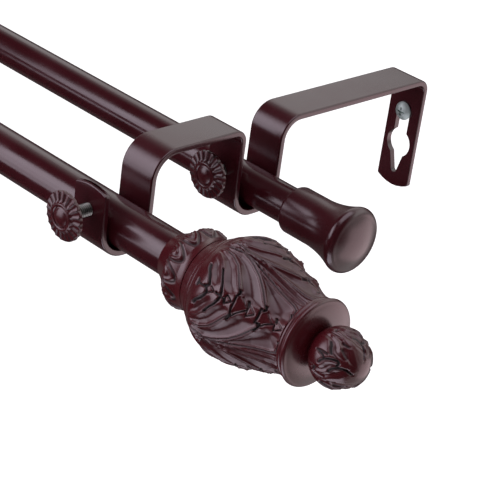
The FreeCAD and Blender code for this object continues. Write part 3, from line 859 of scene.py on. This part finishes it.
# Edges between a leaf's lobes on the body and on the ball: places along the finial in millimetres,
# and degrees from the line where two leaves meet. The midribs are at 45 degrees.
BODY_EDGES = (
    ((25.5, 24), (27, 21.5), (28.7, 19), (29.5, 15.5), (31.5, 12), (33, 8.5), (34.3, 5), (34.8, 2),
     (34.8, 0)),
    ((25.5, 33.5), (29, 31), (33, 26.5), (36, 20.5), (37.2, 17), (39, 12), (40.3, 8), (41.3, 3.5),
     (41.7, 0)),
    ((25.5, 39), (30, 38), (35, 36), (38, 33), (40, 31), (43, 25), (45, 20), (47, 14.5), (48.3, 11),
     (48.2, 6), (48, 0)),
    ((25.5, 43.6), (38, 43), (42, 41.7), (45, 40), (48, 37), (50, 35), (53, 30), (55, 26), (57, 21),
     (59, 15.5), (60.6, 10.5), (59.5, 6), (59.1, 0)),
    ((25.5, 44.3), (38, 43.9), (45, 42.2), (50, 40.6), (55, 38.8), (60, 36.8), (65, 35), (68, 34),
     (70.3, 31), (70.8, 25), (71.2, 15), (71.4, 0)),
)
BALL_EDGES = (
    ((80, 30), (84, 29), (88.6, 25), (89.8, 20), (90.6, 13), (91.8, 7), (92.5, 0)),
    ((80, 41), (86, 39), (91, 33), (93.2, 27), (94.3, 20), (96, 15.5), (97.8, 12.5), (99, 0)),
    ((80, 44.5), (92, 43), (97, 36), (99.5, 20), (100.5, 0)),
)
RIB_EDGE = ((25.5, 44.6), (35, 43.9), (45, 42.8), (50, 42), (55, 41.4), (60, 41), (65, 40.5), (70, 40.4),
            (72, 41))
# Cuts near the meeting line: depth and half width in millimetres, then the places they pass
BODY_CUTS = (
    (0.9, 0.35, (27.5, 0), (30, 0.2), (34, 0)),
    (1.2, 0.8, (27.7, -1.8), (27.9, 0), (27.6, 1.8)),
    (1.3, 0.5, (28.7, -19), (29.5, -15.5), (31.5, -12), (33, -8.5), (34.3, -5), (34.6, -3.3), (34.1, -1.8),
     (32.5, -0.6)),
    (1.3, 0.5, (34, 0.5), (34.9, 3), (34.3, 6.5), (32.5, 11), (30.3, 14.5), (29, 18)),
    (1.1, 0.7, (28.8, -18.5), (29.4, -16)),
    (1.1, 0.7, (29.8, 15.5), (29, 18)),
    (0.7, 0.22, (35.1, 4.5), (36.5, 2), (38, 0), (37, -1.6), (36, -3)),
    (1.0, 0.45, (39.1, -0.3), (39.9, 0), (41.5, 0)),
    (1.3, 0.45, (36, -20.5), (37.2, -17), (39, -12), (40.3, -8), (41.3, -3.5), (41.7, 0), (41.5, 4),
     (40.3, 9), (38.7, 13), (37.2, 17), (36.6, 19.5)),
    (0.8, 0.25, (42.2, 1.2), (43.6, 0.5), (44.3, -3.8), (46.8, 0), (44.2, 5), (43.3, 1)),
    (0.9, 0.45, (43.8, 1), (44.1, 4)),
    (0.7, 0.3, (46.8, 0), (48, 0.2)),
    (1.1, 0.35, (48.4, -12), (48.3, -9.5), (47.7, -7), (48, -3), (48, 4), (48, 8), (48.6, 11), (48.1, 14),
     (47.4, 17)),
    (1.1, 0.55, (48.2, -12.5), (48.5, -10.5)),
    (0.8, 0.28, (49, 12), (50.3, 8), (51.7, 5), (53.5, 1.2), (54, 0)),
    (0.4, 0.22, (50.5, -9), (52.5, -4), (54, -1)),
    (1.0, 0.5, (53.3, -8), (54, -4.5)),
    (0.8, 0.22, (54.2, -3), (54.2, 0), (54.4, 6.3), (57.3, 0.4)),
    (0.4, 0.22, (54.6, -6), (57.3, -0.6)),
    (1.1, 0.35, (60.2, -14), (60.8, -10.5), (60.2, -8.8), (58.8, -9), (59, -3), (59.1, 0), (58.9, 4),
     (58.7, 7.7), (60.7, 6.5), (60.9, 9.5), (60.2, 13), (59.5, 16)),
    (0.8, 0.28, (61.2, 9), (62.5, 5), (64, 2), (65.6, -0.5)),
    (0.4, 0.22, (62, -9), (63.5, -4), (65, -1)),
    (0.9, 0.45, (65.9, -8), (66.5, -4)),
    (0.8, 0.22, (66.2, -1), (66.3, 0), (66.5, 6.7), (69.7, 0.8)),
    (0.4, 0.22, (67, -6.5), (69.8, -1)),
    (1.0, 0.35, (69.8, -23), (70.4, -20), (71, -13), (71.2, -7), (71.2, 6)),
    (0.9, 0.5, (70.4, 17.5), (71, 19)),
)
BALL_CUTS = (
    (1.0, 0.5, (88.6, -25), (89.8, -20), (90.6, -13), (91.8, -7)),
    (0.8, 0.35, (84.8, -1), (87, -3), (90.5, -3)),
    (0.9, 0.45, (86, 0), (88.5, 2), (89.3, 5), (90, 8), (88.9, 12), (88.2, 17)),
    (0.9, 0.45, (90, 8), (92, 3.5), (93.5, 1.5), (95.5, 0), (96, 3), (95.8, 11)),
    (0.9, 0.45, (93.2, 27), (94.3, 20), (96, 15.5), (97.8, 12.5), (99, 15), (100, 23)),
    (0.5, 0.5, (94.5, -24), (96, -19), (97.5, -14)),
    (0.4, 0.3, (92, -9), (94, -5), (95, -3)),
    (0.8, 0.5, (86, 40), (85.5, 34)),
    (0.7, 0.4, (93, -37), (95.5, -38)),
)


# Relief of the leaves beside the depths that can be set, in millimetres
OPENING = 7.0
LOBE_SHARE = 0.32
VEIN, VEIN_LOBE = 0.09, 3.0
RIM_OFFSET, RIM_WIDTH = 0.58, 0.32
# The last width is the half width of the painted shade along each edge's groove
GROOVE, GROOVE_WIDTH, GROOVE_SHADE_WIDTH = 0.5, 0.24, 0.3
RIB_WALL, RIB_WALL_WIDTH = 0.45, 0.4
RIB_FLOOR, RIB_FLOOR_WIDTH, RIB_FLOOR_START = 0.7, 0.45, 0.8
MIDRIB, MIDRIB_WIDTH = 0.3, 0.5
# Share of the full relief at the meeting line, and at the first two, short edges
MEETING_SHARE, SHORT_SHARE = 0.3, 0.55
# Petals in millimetres: half width, length, slant, roundness of the outline, arcs, border and lift
PETAL_HALF, PETAL_LENGTH, PETAL_SLANT, PETAL_ROUND = 4.2, 8.2, 0.28, 1.75
PETAL_ARCS, PETAL_BORDER, PETAL_LIFT = 0.2, 0.4, 0.3
FIRST_PETAL = math.radians(29)


def distance_to(points, along, across, radius):
    """Distance in millimetres on the surface from each place to a line of places."""
    nearest = np.full(along.shape, 1e3)
    line = [(x, math.radians(degrees) * radius(x)) for x, degrees in points]
    for (ax, ay), (bx, by) in zip(line, line[1:]):
        run, climb = bx - ax, by - ay
        part = ((along - ax) * run + (across - ay) * climb) / (run * run + climb * climb)
        part = np.clip(part, 0.0, 1.0)
        nearest = np.minimum(nearest, np.hypot(along - ax - part * run, across - ay - part * climb))
    return nearest


def ridge(away, half_width):
    """1 on a line, and quickly less beside it."""
    return np.exp(-(away / half_width) ** 2)


def leaf_relief(carving, edges, cuts, weight, edging, radius, x, turn):
    """(height, hollow) of the leaves: concave lobes between raised edges, with cuts at the meeting line.
    hollow is painted shade: dark in the cuts, in the lobes' deepest parts and along the grooves beside the
    edges.
    weight scales the lobes and edging their rims. x is in metres; radius(x) takes and gives millimetres."""
    along = x / MM
    tile = math.tau / carving.leaves
    seam = carving.first_leaf + tile / 2
    bend = np.degrees((turn - seam + tile / 2) % tile - tile / 2) + 0 * along
    girth = np.vectorize(radius)(along[:, :1])
    across = np.radians(bend) * girth
    aside = np.abs(bend)
    signed = []
    for edge in edges:
        places, degrees = zip(*edge[::-1])
        beyond = along > np.interp(aside, degrees, places)
        signed.append(np.where(beyond, 1, -1) * distance_to(edge, along, np.abs(across), radius))
    height = np.zeros_like(along)
    start = edges[0][0][0]
    opened = eased(start, start + OPENING, along)
    closed = MEETING_SHARE + (1 - MEETING_SHARE) * eased(4, 14, aside)
    for near, far in zip(signed, signed[1:]):
        inside = (near > 0) & (far <= 0)
        width = np.maximum(near - far, 1e-6)
        part = np.clip(near / width, 0.0, 1.0)
        lobe = np.minimum(carving.flute * weight / MM, LOBE_SHARE * width) * np.sin(math.pi * part) ** 0.9
        vein = VEIN * np.minimum(width / VEIN_LOBE, 1.0) * edging * np.cos(4 * math.pi * part)
        height -= np.where(inside, (lobe + vein) * opened * closed, 0.0)
    groove_shade = np.zeros_like(along)
    for index, away in enumerate(signed):
        shown = edging * (1.0 if index >= 2 else SHORT_SHARE) * eased(2, 8, aside) * opened
        rims = carving.rim / MM * ridge(np.abs(away) - RIM_OFFSET, RIM_WIDTH)
        height += shown * (rims - GROOVE * ridge(away, GROOVE_WIDTH))
        groove_shade = np.maximum(groove_shade, shown * ridge(away, GROOVE_SHADE_WIDTH))
    if edges is BODY_EDGES:
        wall = distance_to(RIB_EDGE, along, np.abs(across), radius)
        middle = math.radians(45) * girth - np.abs(across)
        height += RIB_WALL * opened * ridge(wall, RIB_WALL_WIDTH)
        channel = opened * (1 - ridge(wall, RIB_FLOOR_WIDTH)) * eased(0.0, RIB_FLOOR_START, signed[-1])
        height -= np.where(signed[-1] > 0, RIB_FLOOR * channel + MIDRIB * ridge(middle, MIDRIB_WIDTH), 0.0)
    depth = np.zeros_like(along)
    for amount, half_width, *places in cuts:
        away = distance_to(places, along, across, radius)
        depth = np.maximum(depth, amount / (1 + (away / half_width) ** 4))
    height -= depth * carving.cut
    # Painted shade: darkest in the cuts, a little in the lobes' deepest parts, and along the edges' grooves
    hollow = np.clip(depth * 1.3 - 0.15, 0.0, 1.0) + np.clip(-0.25 * height - 0.15, 0.0, 0.2)
    return height * MM, np.clip(hollow + 0.75 * groove_shade, 0.0, 1.0)


def petal_relief(carving, x, turn):
    """(height, hollow) of the collar's petals: slanted tongues of nested arcs, with painted shade in the
    border groove and the arcs' troughs.
    """
    along = x / MM
    girth = carving.collar / 2 / MM
    pitch = math.tau / carving.petals
    aside = ((turn - carving.first_leaf - FIRST_PETAL + pitch / 2) % pitch - pitch / 2) * girth
    aside = np.abs(aside - PETAL_SLANT * (along - 2.0)) / PETAL_HALF
    ahead = np.maximum(along - 1.0, 0.0) / PETAL_LENGTH
    tongue = (aside ** PETAL_ROUND + ahead ** PETAL_ROUND) ** (1 / PETAL_ROUND)
    arcs = PETAL_ARCS * np.cos(5 * math.pi * tongue) * (1 - eased(0.9, 1.1, tongue))
    border = PETAL_BORDER * ridge(tongue - 1.02, 0.1)
    lift = PETAL_LIFT * (1 - eased(0.85, 1.05, tongue))
    shown = eased(0.3, 2.0, along) * (1 - eased(8.6, 10.4, along))
    # Painted shade in the border groove and in the arcs' troughs
    hollow = 1.6 * border - 1.2 * np.minimum(arcs, 0.0)
    return (arcs + lift - border) * shown * carving.petal_rise, np.clip(hollow * shown, 0.0, 0.8)


class POLE_OT_finials(bpy.types.Operator):
    """Carves the two leaf-covered finials"""
    bl_idname = "curtain_pole.finials"
    bl_label = "Finials"

    def execute(self, context):
        carving = settings(FinialSettings)
        for end, tube, facing in END_TUBES:
            tube = "front_" + tube
            low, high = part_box(tube)
            bore = radius_of(tube) + 0.05 * MM
            placed = along_pole(tube, high.x if facing > 0 else low.x, facing)
            for part, shape in (("collar", self.collar(carving, bore)), ("leaves", self.leaves(carving)),
                                ("ball", self.head(carving))):
                shape.piece("finial_" + end + "_" + part, end + "_end", enamel("carving"), "painted_resin",
                            "finial_" + end, placed, sharp=88.0)
        return {"FINISHED"}

    def body_radius(self, carving, x):
        """Radius of the swelling body at a place along the finial."""
        u = (x - carving.body_start) / (carving.body_end - carving.body_start)
        straight = (carving.neck * (1 - u) + carving.body_end_diameter * u) / 2
        if x < carving.swell_peak:
            part = (x - carving.body_start) / (carving.swell_peak - carving.body_start)
            power = 0.95
        else:
            part = (carving.body_end - x) / (carving.body_end - carving.swell_peak)
            power = 0.75
        return straight + carving.swell * max((1 - math.cos(math.pi * part)) / 2, 0.0) ** power

    def collar(self, carving, bore):
        """Socket collar with its petals, and the grooved and ringed neck behind it."""
        lip = carving.socket - 0.3 * MM
        inside = outline((-0.2 * MM, 0.0), (-0.2 * MM, bore), (-carving.socket, bore),
                         (-carving.socket, bore + carving.lip * 0.6), (-lip, bore + carving.lip, 0.08 * MM))
        petals = outline((-lip, bore + carving.lip), (carving.slope_end, carving.slope / 2, -0.35 * MM),
                         (carving.collar_peak, carving.collar / 2, 0.25 * MM),
                         (carving.collar_end, carving.neck / 2, 0.1 * MM), steps=16)[1:]
        groove = carving.groove
        groove_end = groove + carving.groove_width
        bottom = self.body_radius(carving, groove) - carving.groove_depth
        petals += [(x, self.body_radius(carving, max(x, carving.body_start)))
                   for x in np.linspace(carving.collar_end, groove, 15)[1:]]
        neck = [(groove + 0.15 * MM, bottom), (groove_end - 0.15 * MM, bottom)]
        stop = carving.carving_start + 0.3 * MM
        for x in np.linspace(groove_end, stop, 45):
            ring = sum(ridge(x - place * MM, 0.35 * MM) * 0.3 * MM for place in (18.6, 19.5, 22.5))
            neck.append((x, self.body_radius(carving, x) + ring))
        neck += [(stop + 0.1 * MM, self.body_radius(carving, stop) - 2 * MM), (stop + 0.1 * MM, 0.0)]
        shape = Shape()
        shape.lathe(inside + petals + neck, segments=360, carved=(len(inside), len(inside) + len(petals)),
                    relief=lambda x, turn: petal_relief(carving, x, turn))
        return shape

    def leaves(self, carving):
        """Swelling body with its four leaves."""
        start, stop = carving.carving_start, carving.body_end
        body = [(x, self.body_radius(carving, x)) for x in np.linspace(start, stop, 159)]
        ends = [(start, 0.0), (start, body[0][1] - 1.5 * MM)]
        closing = [(stop, body[-1][1] - 1.5 * MM), (stop, 0.0)]

        def relief(x, turn):
            return leaf_relief(carving, BODY_EDGES, BODY_CUTS, 1.0, 1.0,
                               lambda place: self.body_radius(carving, place * MM) / MM, x, turn)

        shape = Shape()
        shape.lathe(ends + body + closing, segments=576, carved=(2, 2 + len(body)), relief=relief)
        return shape

    def head(self, carving):
        """Band, sloping disc and the leaf-covered ball."""
        stop = carving.body_end
        face = stop + carving.disc_thickness
        slope = face - carving.disc_slope
        disc = carving.disc / 2
        edge = carving.disc_edge
        band = carving.body_end_diameter / 2 + 0.2 * MM
        size = carving.ball / 2
        neck = carving.ball_neck / 2
        middle = face + math.sqrt(size ** 2 - neck ** 2)
        plain = outline((stop - 0.6 * MM, 0.0), (stop - 0.6 * MM, band - 1.5 * MM),
                        (stop - 0.3 * MM, band - 0.1 * MM), (stop + 0.9 * MM, band, 0.15 * MM),
                        (stop + 1.1 * MM, band - 0.25 * MM), (stop + 1.35 * MM, band - 0.25 * MM),
                        (stop + 1.6 * MM, band - 0.05 * MM), (slope - edge, disc, 0.15 * MM),
                        (slope, disc - edge, QUARTER * edge), (face, neck, carving.disc_dome), steps=10)
        ball = [(middle - size * math.cos(swing), size * math.sin(swing))
                for swing in np.linspace(math.asin(neck / size), math.pi, 85)[1:-1]]

        def girth(place):
            return math.sqrt(max(size ** 2 - (place * MM - middle) ** 2, (2 * MM) ** 2)) / MM

        def relief(x, turn):
            height, hollow = leaf_relief(carving, BALL_EDGES, BALL_CUTS, 0.9, 0.1, girth, x, turn)
            faded = 1 - eased(middle + 0.9 * size, middle + 0.99 * size, x)
            return height * faded, hollow * faded

        shape = Shape()
        shape.lathe(plain + ball + [(middle + size, 0.0)], segments=360, relief=relief,
                    carved=(len(plain), len(plain) + len(ball)))
        return shape


# End caps


class POLE_OT_end_caps(bpy.types.Operator):
    """Turns the two flared end caps of the rear pole"""
    bl_idname = "curtain_pole.end_caps"
    bl_label = "End caps"

    def execute(self, context):
        cap = settings(CapSettings)
        sleeve = cap.sleeve / 2
        rim = cap.rim / 2
        edge = cap.flare + cap.rim_width
        for end, tube, facing in END_TUBES:
            tube = "rear_" + tube
            name = "end_cap_" + end
            side = 1 if facing > 0 else 0
            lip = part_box(name)[1 - side].x
            bore = radius_of(tube) + 0.05 * MM
            socket = (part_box(tube)[side].x - lip) * facing
            shape = Shape()
            shape.lathe(outline((socket, 0.0), (socket, bore), (0.0, bore), (0.0, sleeve - cap.lip),
                                (cap.lip, sleeve, QUARTER * cap.lip), (cap.sleeve_length, sleeve),
                                (cap.flare, rim, -cap.hollow), (edge, rim - cap.rim_drop, cap.rim_bulge),
                                dome(edge, rim - cap.rim_drop, cap.dome), steps=14), segments=144)
            shape.piece(name + "_turning", end + "_end", enamel("cap"), "painted_resin", name,
                        along_pole(tube, lip, facing), sharp=50.0)
        return {"FINISHED"}


# Hidden fittings


class POLE_OT_fittings(bpy.types.Operator):
    """Gives the studs and plugs inside the front pole their finishes"""
    bl_idname = "curtain_pole.fittings"
    bl_label = "Hidden fittings"

    def execute(self, context):
        for end in ENDS:
            for name, given in (("finial_stud_" + end, zinc()), ("finial_plug_" + end, plug_plastic())):
                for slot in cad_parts[name].material_slots:
                    slot.material = given
        return {"FINISHED"}


# Stage


CAMERA_PLACE = Vector((0.5257293, -0.6862971, 0.3632705))
FOCAL_PIXELS = 1821.9466
FRAME_PIXELS = 500
SENSOR = 36.0
LIT_PLACE = Vector((0.0, -0.17, 0.0))
WHITE = (1.0, 1.0, 1.0, 1.0)


def facing_along(way):
    """Turn of a camera or lamp that looks that way."""
    return way.to_track_quat("-Z", "Y").to_matrix().to_4x4()


class POLE_OT_stage(bpy.types.Operator):
    """Sets up the camera, the pale floor and the soft studio light"""
    bl_idname = "curtain_pole.stage"
    bl_label = "Stage"

    def execute(self, context):
        stage = settings(StageSettings)
        self.camera(stage)
        self.paper(stage)
        self.world()
        self.lamps(stage)
        context.scene.view_settings.view_transform = "Standard"
        return {"FINISHED"}

    def camera(self, stage):
        a, e = stage.view_azimuth, stage.view_elevation
        back = Vector((math.sin(a) * math.cos(e), -math.cos(a) * math.cos(e), math.sin(e)))
        data = bpy.data.cameras.new("camera")
        data.sensor_width = SENSOR
        data.lens = FOCAL_PIXELS / FRAME_PIXELS * SENSOR
        data.clip_start = 0.01
        data.clip_end = 20.0
        place = Matrix.Translation(CAMERA_PLACE) @ facing_along(-back)
        bpy.context.scene.camera = to_scene("camera", data, place @ Matrix.Rotation(stage.view_roll, 4, "Z"))

    def paper(self, stage):
        """Pale floor that sweeps up behind the object."""
        floor, bend, sweep = -stage.floor_drop, stage.floor_depth, stage.sweep
        points = [(-0.35, floor), (bend, floor)]
        for step in range(1, 13):
            swing = math.radians(90 * step / 12)
            points.append((bend + sweep * math.sin(swing), floor + sweep * (1 - math.cos(swing))))
        points.append((bend + sweep, 2.2))
        mesh = bpy.data.meshes.new("paper")
        vertices = [(x, y, z) for y, z in points for x in (-3.0, 2.6)]
        faces = [(2 * i, 2 * i + 1, 2 * i + 3, 2 * i + 2) for i in range(len(points) - 1)]
        mesh.from_pydata(vertices, [], faces)
        mesh.shade_smooth()
        mesh.materials.append(finish("paper", self.paper_finish))
        made = to_scene("paper", mesh)

    def paper_finish(self, tree, shader):
        """Pale to the camera; in reflections a glow that grows to the top and to the right."""
        place = object_place(tree)
        rays = node(tree, "ShaderNodeLightPath").outputs
        tone = ranged(tree, noise(tree, place, 60.0, 3.0), (0.3, 0.7), (0.97, 1.0))
        kept = worked(tree, "MULTIPLY", tone, worked(tree, "SUBTRACT", 1.0, rays["Is Glossy Ray"]))
        at = node(tree, "ShaderNodeSeparateXYZ", {0: place}).outputs
        high = ranged(tree, at["Z"], (0.2, 0.9), (0.08, 1.2), interpolation_type="SMOOTHSTEP")
        right = ranged(tree, at["X"], (-0.1, 0.5), (0.0, 0.7), interpolation_type="SMOOTHSTEP")
        mirrored = worked(tree, "MULTIPLY", rays["Is Glossy Ray"], worked(tree, "ADD", high, right))
        glow = worked(tree, "MULTIPLY_ADD", rays["Is Camera Ray"], 0.75, mirrored)
        feed(shader, {"Base Color": scaled(tree, settings(StageSettings).paper, kept), "Roughness": 0.9,
                      "Emission Color": WHITE, "Emission Strength": glow})
        # From behind, the camera sees through it
        side = node(tree, "ShaderNodeNewGeometry").outputs["Backfacing"]
        clear = node(tree, "ShaderNodeBsdfTransparent").outputs[0]
        either = node(tree, "ShaderNodeMixShader", {
            "Fac": worked(tree, "MULTIPLY", side, rays["Is Camera Ray"]), 1: shader.outputs[0], 2: clear})
        feed(tree.nodes["Material Output"], {"Surface": either.outputs[0]})

    def world(self):
        """White to the camera; in reflections white behind the object and dark in front of it."""
        world = bpy.data.worlds.new("studio")
        bpy.context.scene.world = world
        world.use_nodes = True
        tree = world.node_tree
        way = node(tree, "ShaderNodeTexCoord").outputs["Generated"]
        behind = ranged(tree, node(tree, "ShaderNodeSeparateXYZ", {0: way}).outputs["Y"], (0.0, 0.75),
                        (0.02, 1.1), interpolation_type="SMOOTHSTEP")
        rays = node(tree, "ShaderNodeLightPath").outputs
        bright = 0.35
        for ray, value in (("Is Glossy Ray", behind), ("Is Camera Ray", 1.0)):
            inputs = {"Factor": rays[ray], "A": bright, "B": value}
            bright = node(tree, "ShaderNodeMix", inputs, data_type="FLOAT").outputs["Result"]
        feed(tree.nodes["Background"], {"Color": WHITE, "Strength": bright})

    def lamps(self, stage):
        """Soft panel at the left front that is brightest in its middle, and dimmer panels elsewhere."""
        left = Vector((-0.80, -0.60, 0.0))
        aside = Vector((0.60, -0.80, 0.0)) * stage.panel_shift
        layers = ((-0.165, 0.84, 0.6), (0.03, 0.62, 0.25), (0.22, 0.50, 0.15))
        for layer, (low, high, part) in enumerate(layers):
            self.lamp("left panel %d" % (layer + 1), left, 0.75 - 0.01 * layer, (0.78, high - low),
                      stage.panel * part, stage.panel_colour, aside + Vector((0.0, 0.0, (low + high) / 2)))
        for name, aim, distance, width, radiance, tint in (
                ("low panel", (0.32, -0.37, -0.87), 1.1, 0.85, stage.low_panel, stage.panel_colour),
                ("overhead panel", (0.05, 0.0, 1.0), 1.5, 1.4, stage.overhead, stage.panel_colour),
                ("right card", (0.60, 0.66, -0.45), 1.5, 1.4, stage.card, stage.card_colour)):
            self.lamp(name, Vector(aim), distance, (width, width), radiance, tint, Vector())

    def lamp(self, name, aim, distance, size, radiance, tint, shift):
        """Rectangular lamp that shines at the object against aim, moved sideways by shift."""
        data = bpy.data.lights.new(name, "AREA")
        data.shape = "RECTANGLE"
        data.size, data.size_y = size
        data.energy = radiance * math.pi * size[0] * size[1]
        data.color = tint
        to_scene(name, data, Matrix.Translation(LIT_PLACE + aim * distance + shift) @ facing_along(-aim))


OPERATORS = (POLE_OT_tubes, POLE_OT_brackets, POLE_OT_wall_screws, POLE_OT_shanks, POLE_OT_knobs,
             POLE_OT_finials, POLE_OT_end_caps, POLE_OT_fittings, POLE_OT_stage)


class POLE_PT_panel(bpy.types.Panel):
    """Lists the pieces and their settings"""
    bl_idname = "POLE_PT_panel"
    bl_label = "Curtain pole"
    bl_space_type = "VIEW_3D"
    bl_region_type = "UI"
    bl_category = "Curtain pole"

    def draw(self, context):
        for operator in OPERATORS:
            self.layout.operator(operator.bl_idname)
        for group in SETTINGS:
            box = self.layout.box()
            box.label(text=group.__doc__)
            for name in group.__annotations__:
                box.prop(settings(group), name)


def register():
    for each in SETTINGS + OPERATORS + (POLE_PT_panel,):
        bpy.utils.register_class(each)
    for group in SETTINGS:
        setattr(bpy.types.Scene, group.__name__, PointerProperty(type=group))


def unregister():
    for group in SETTINGS:
        delattr(bpy.types.Scene, group.__name__)
    for each in reversed(SETTINGS + OPERATORS + (POLE_PT_panel,)):
        bpy.utils.unregister_class(each)


def main():
    register()
    for step in OPERATORS:
        getattr(bpy.ops.curtain_pole, step.bl_idname.split(".")[1])()


if __name__ == "__main__":
    main()
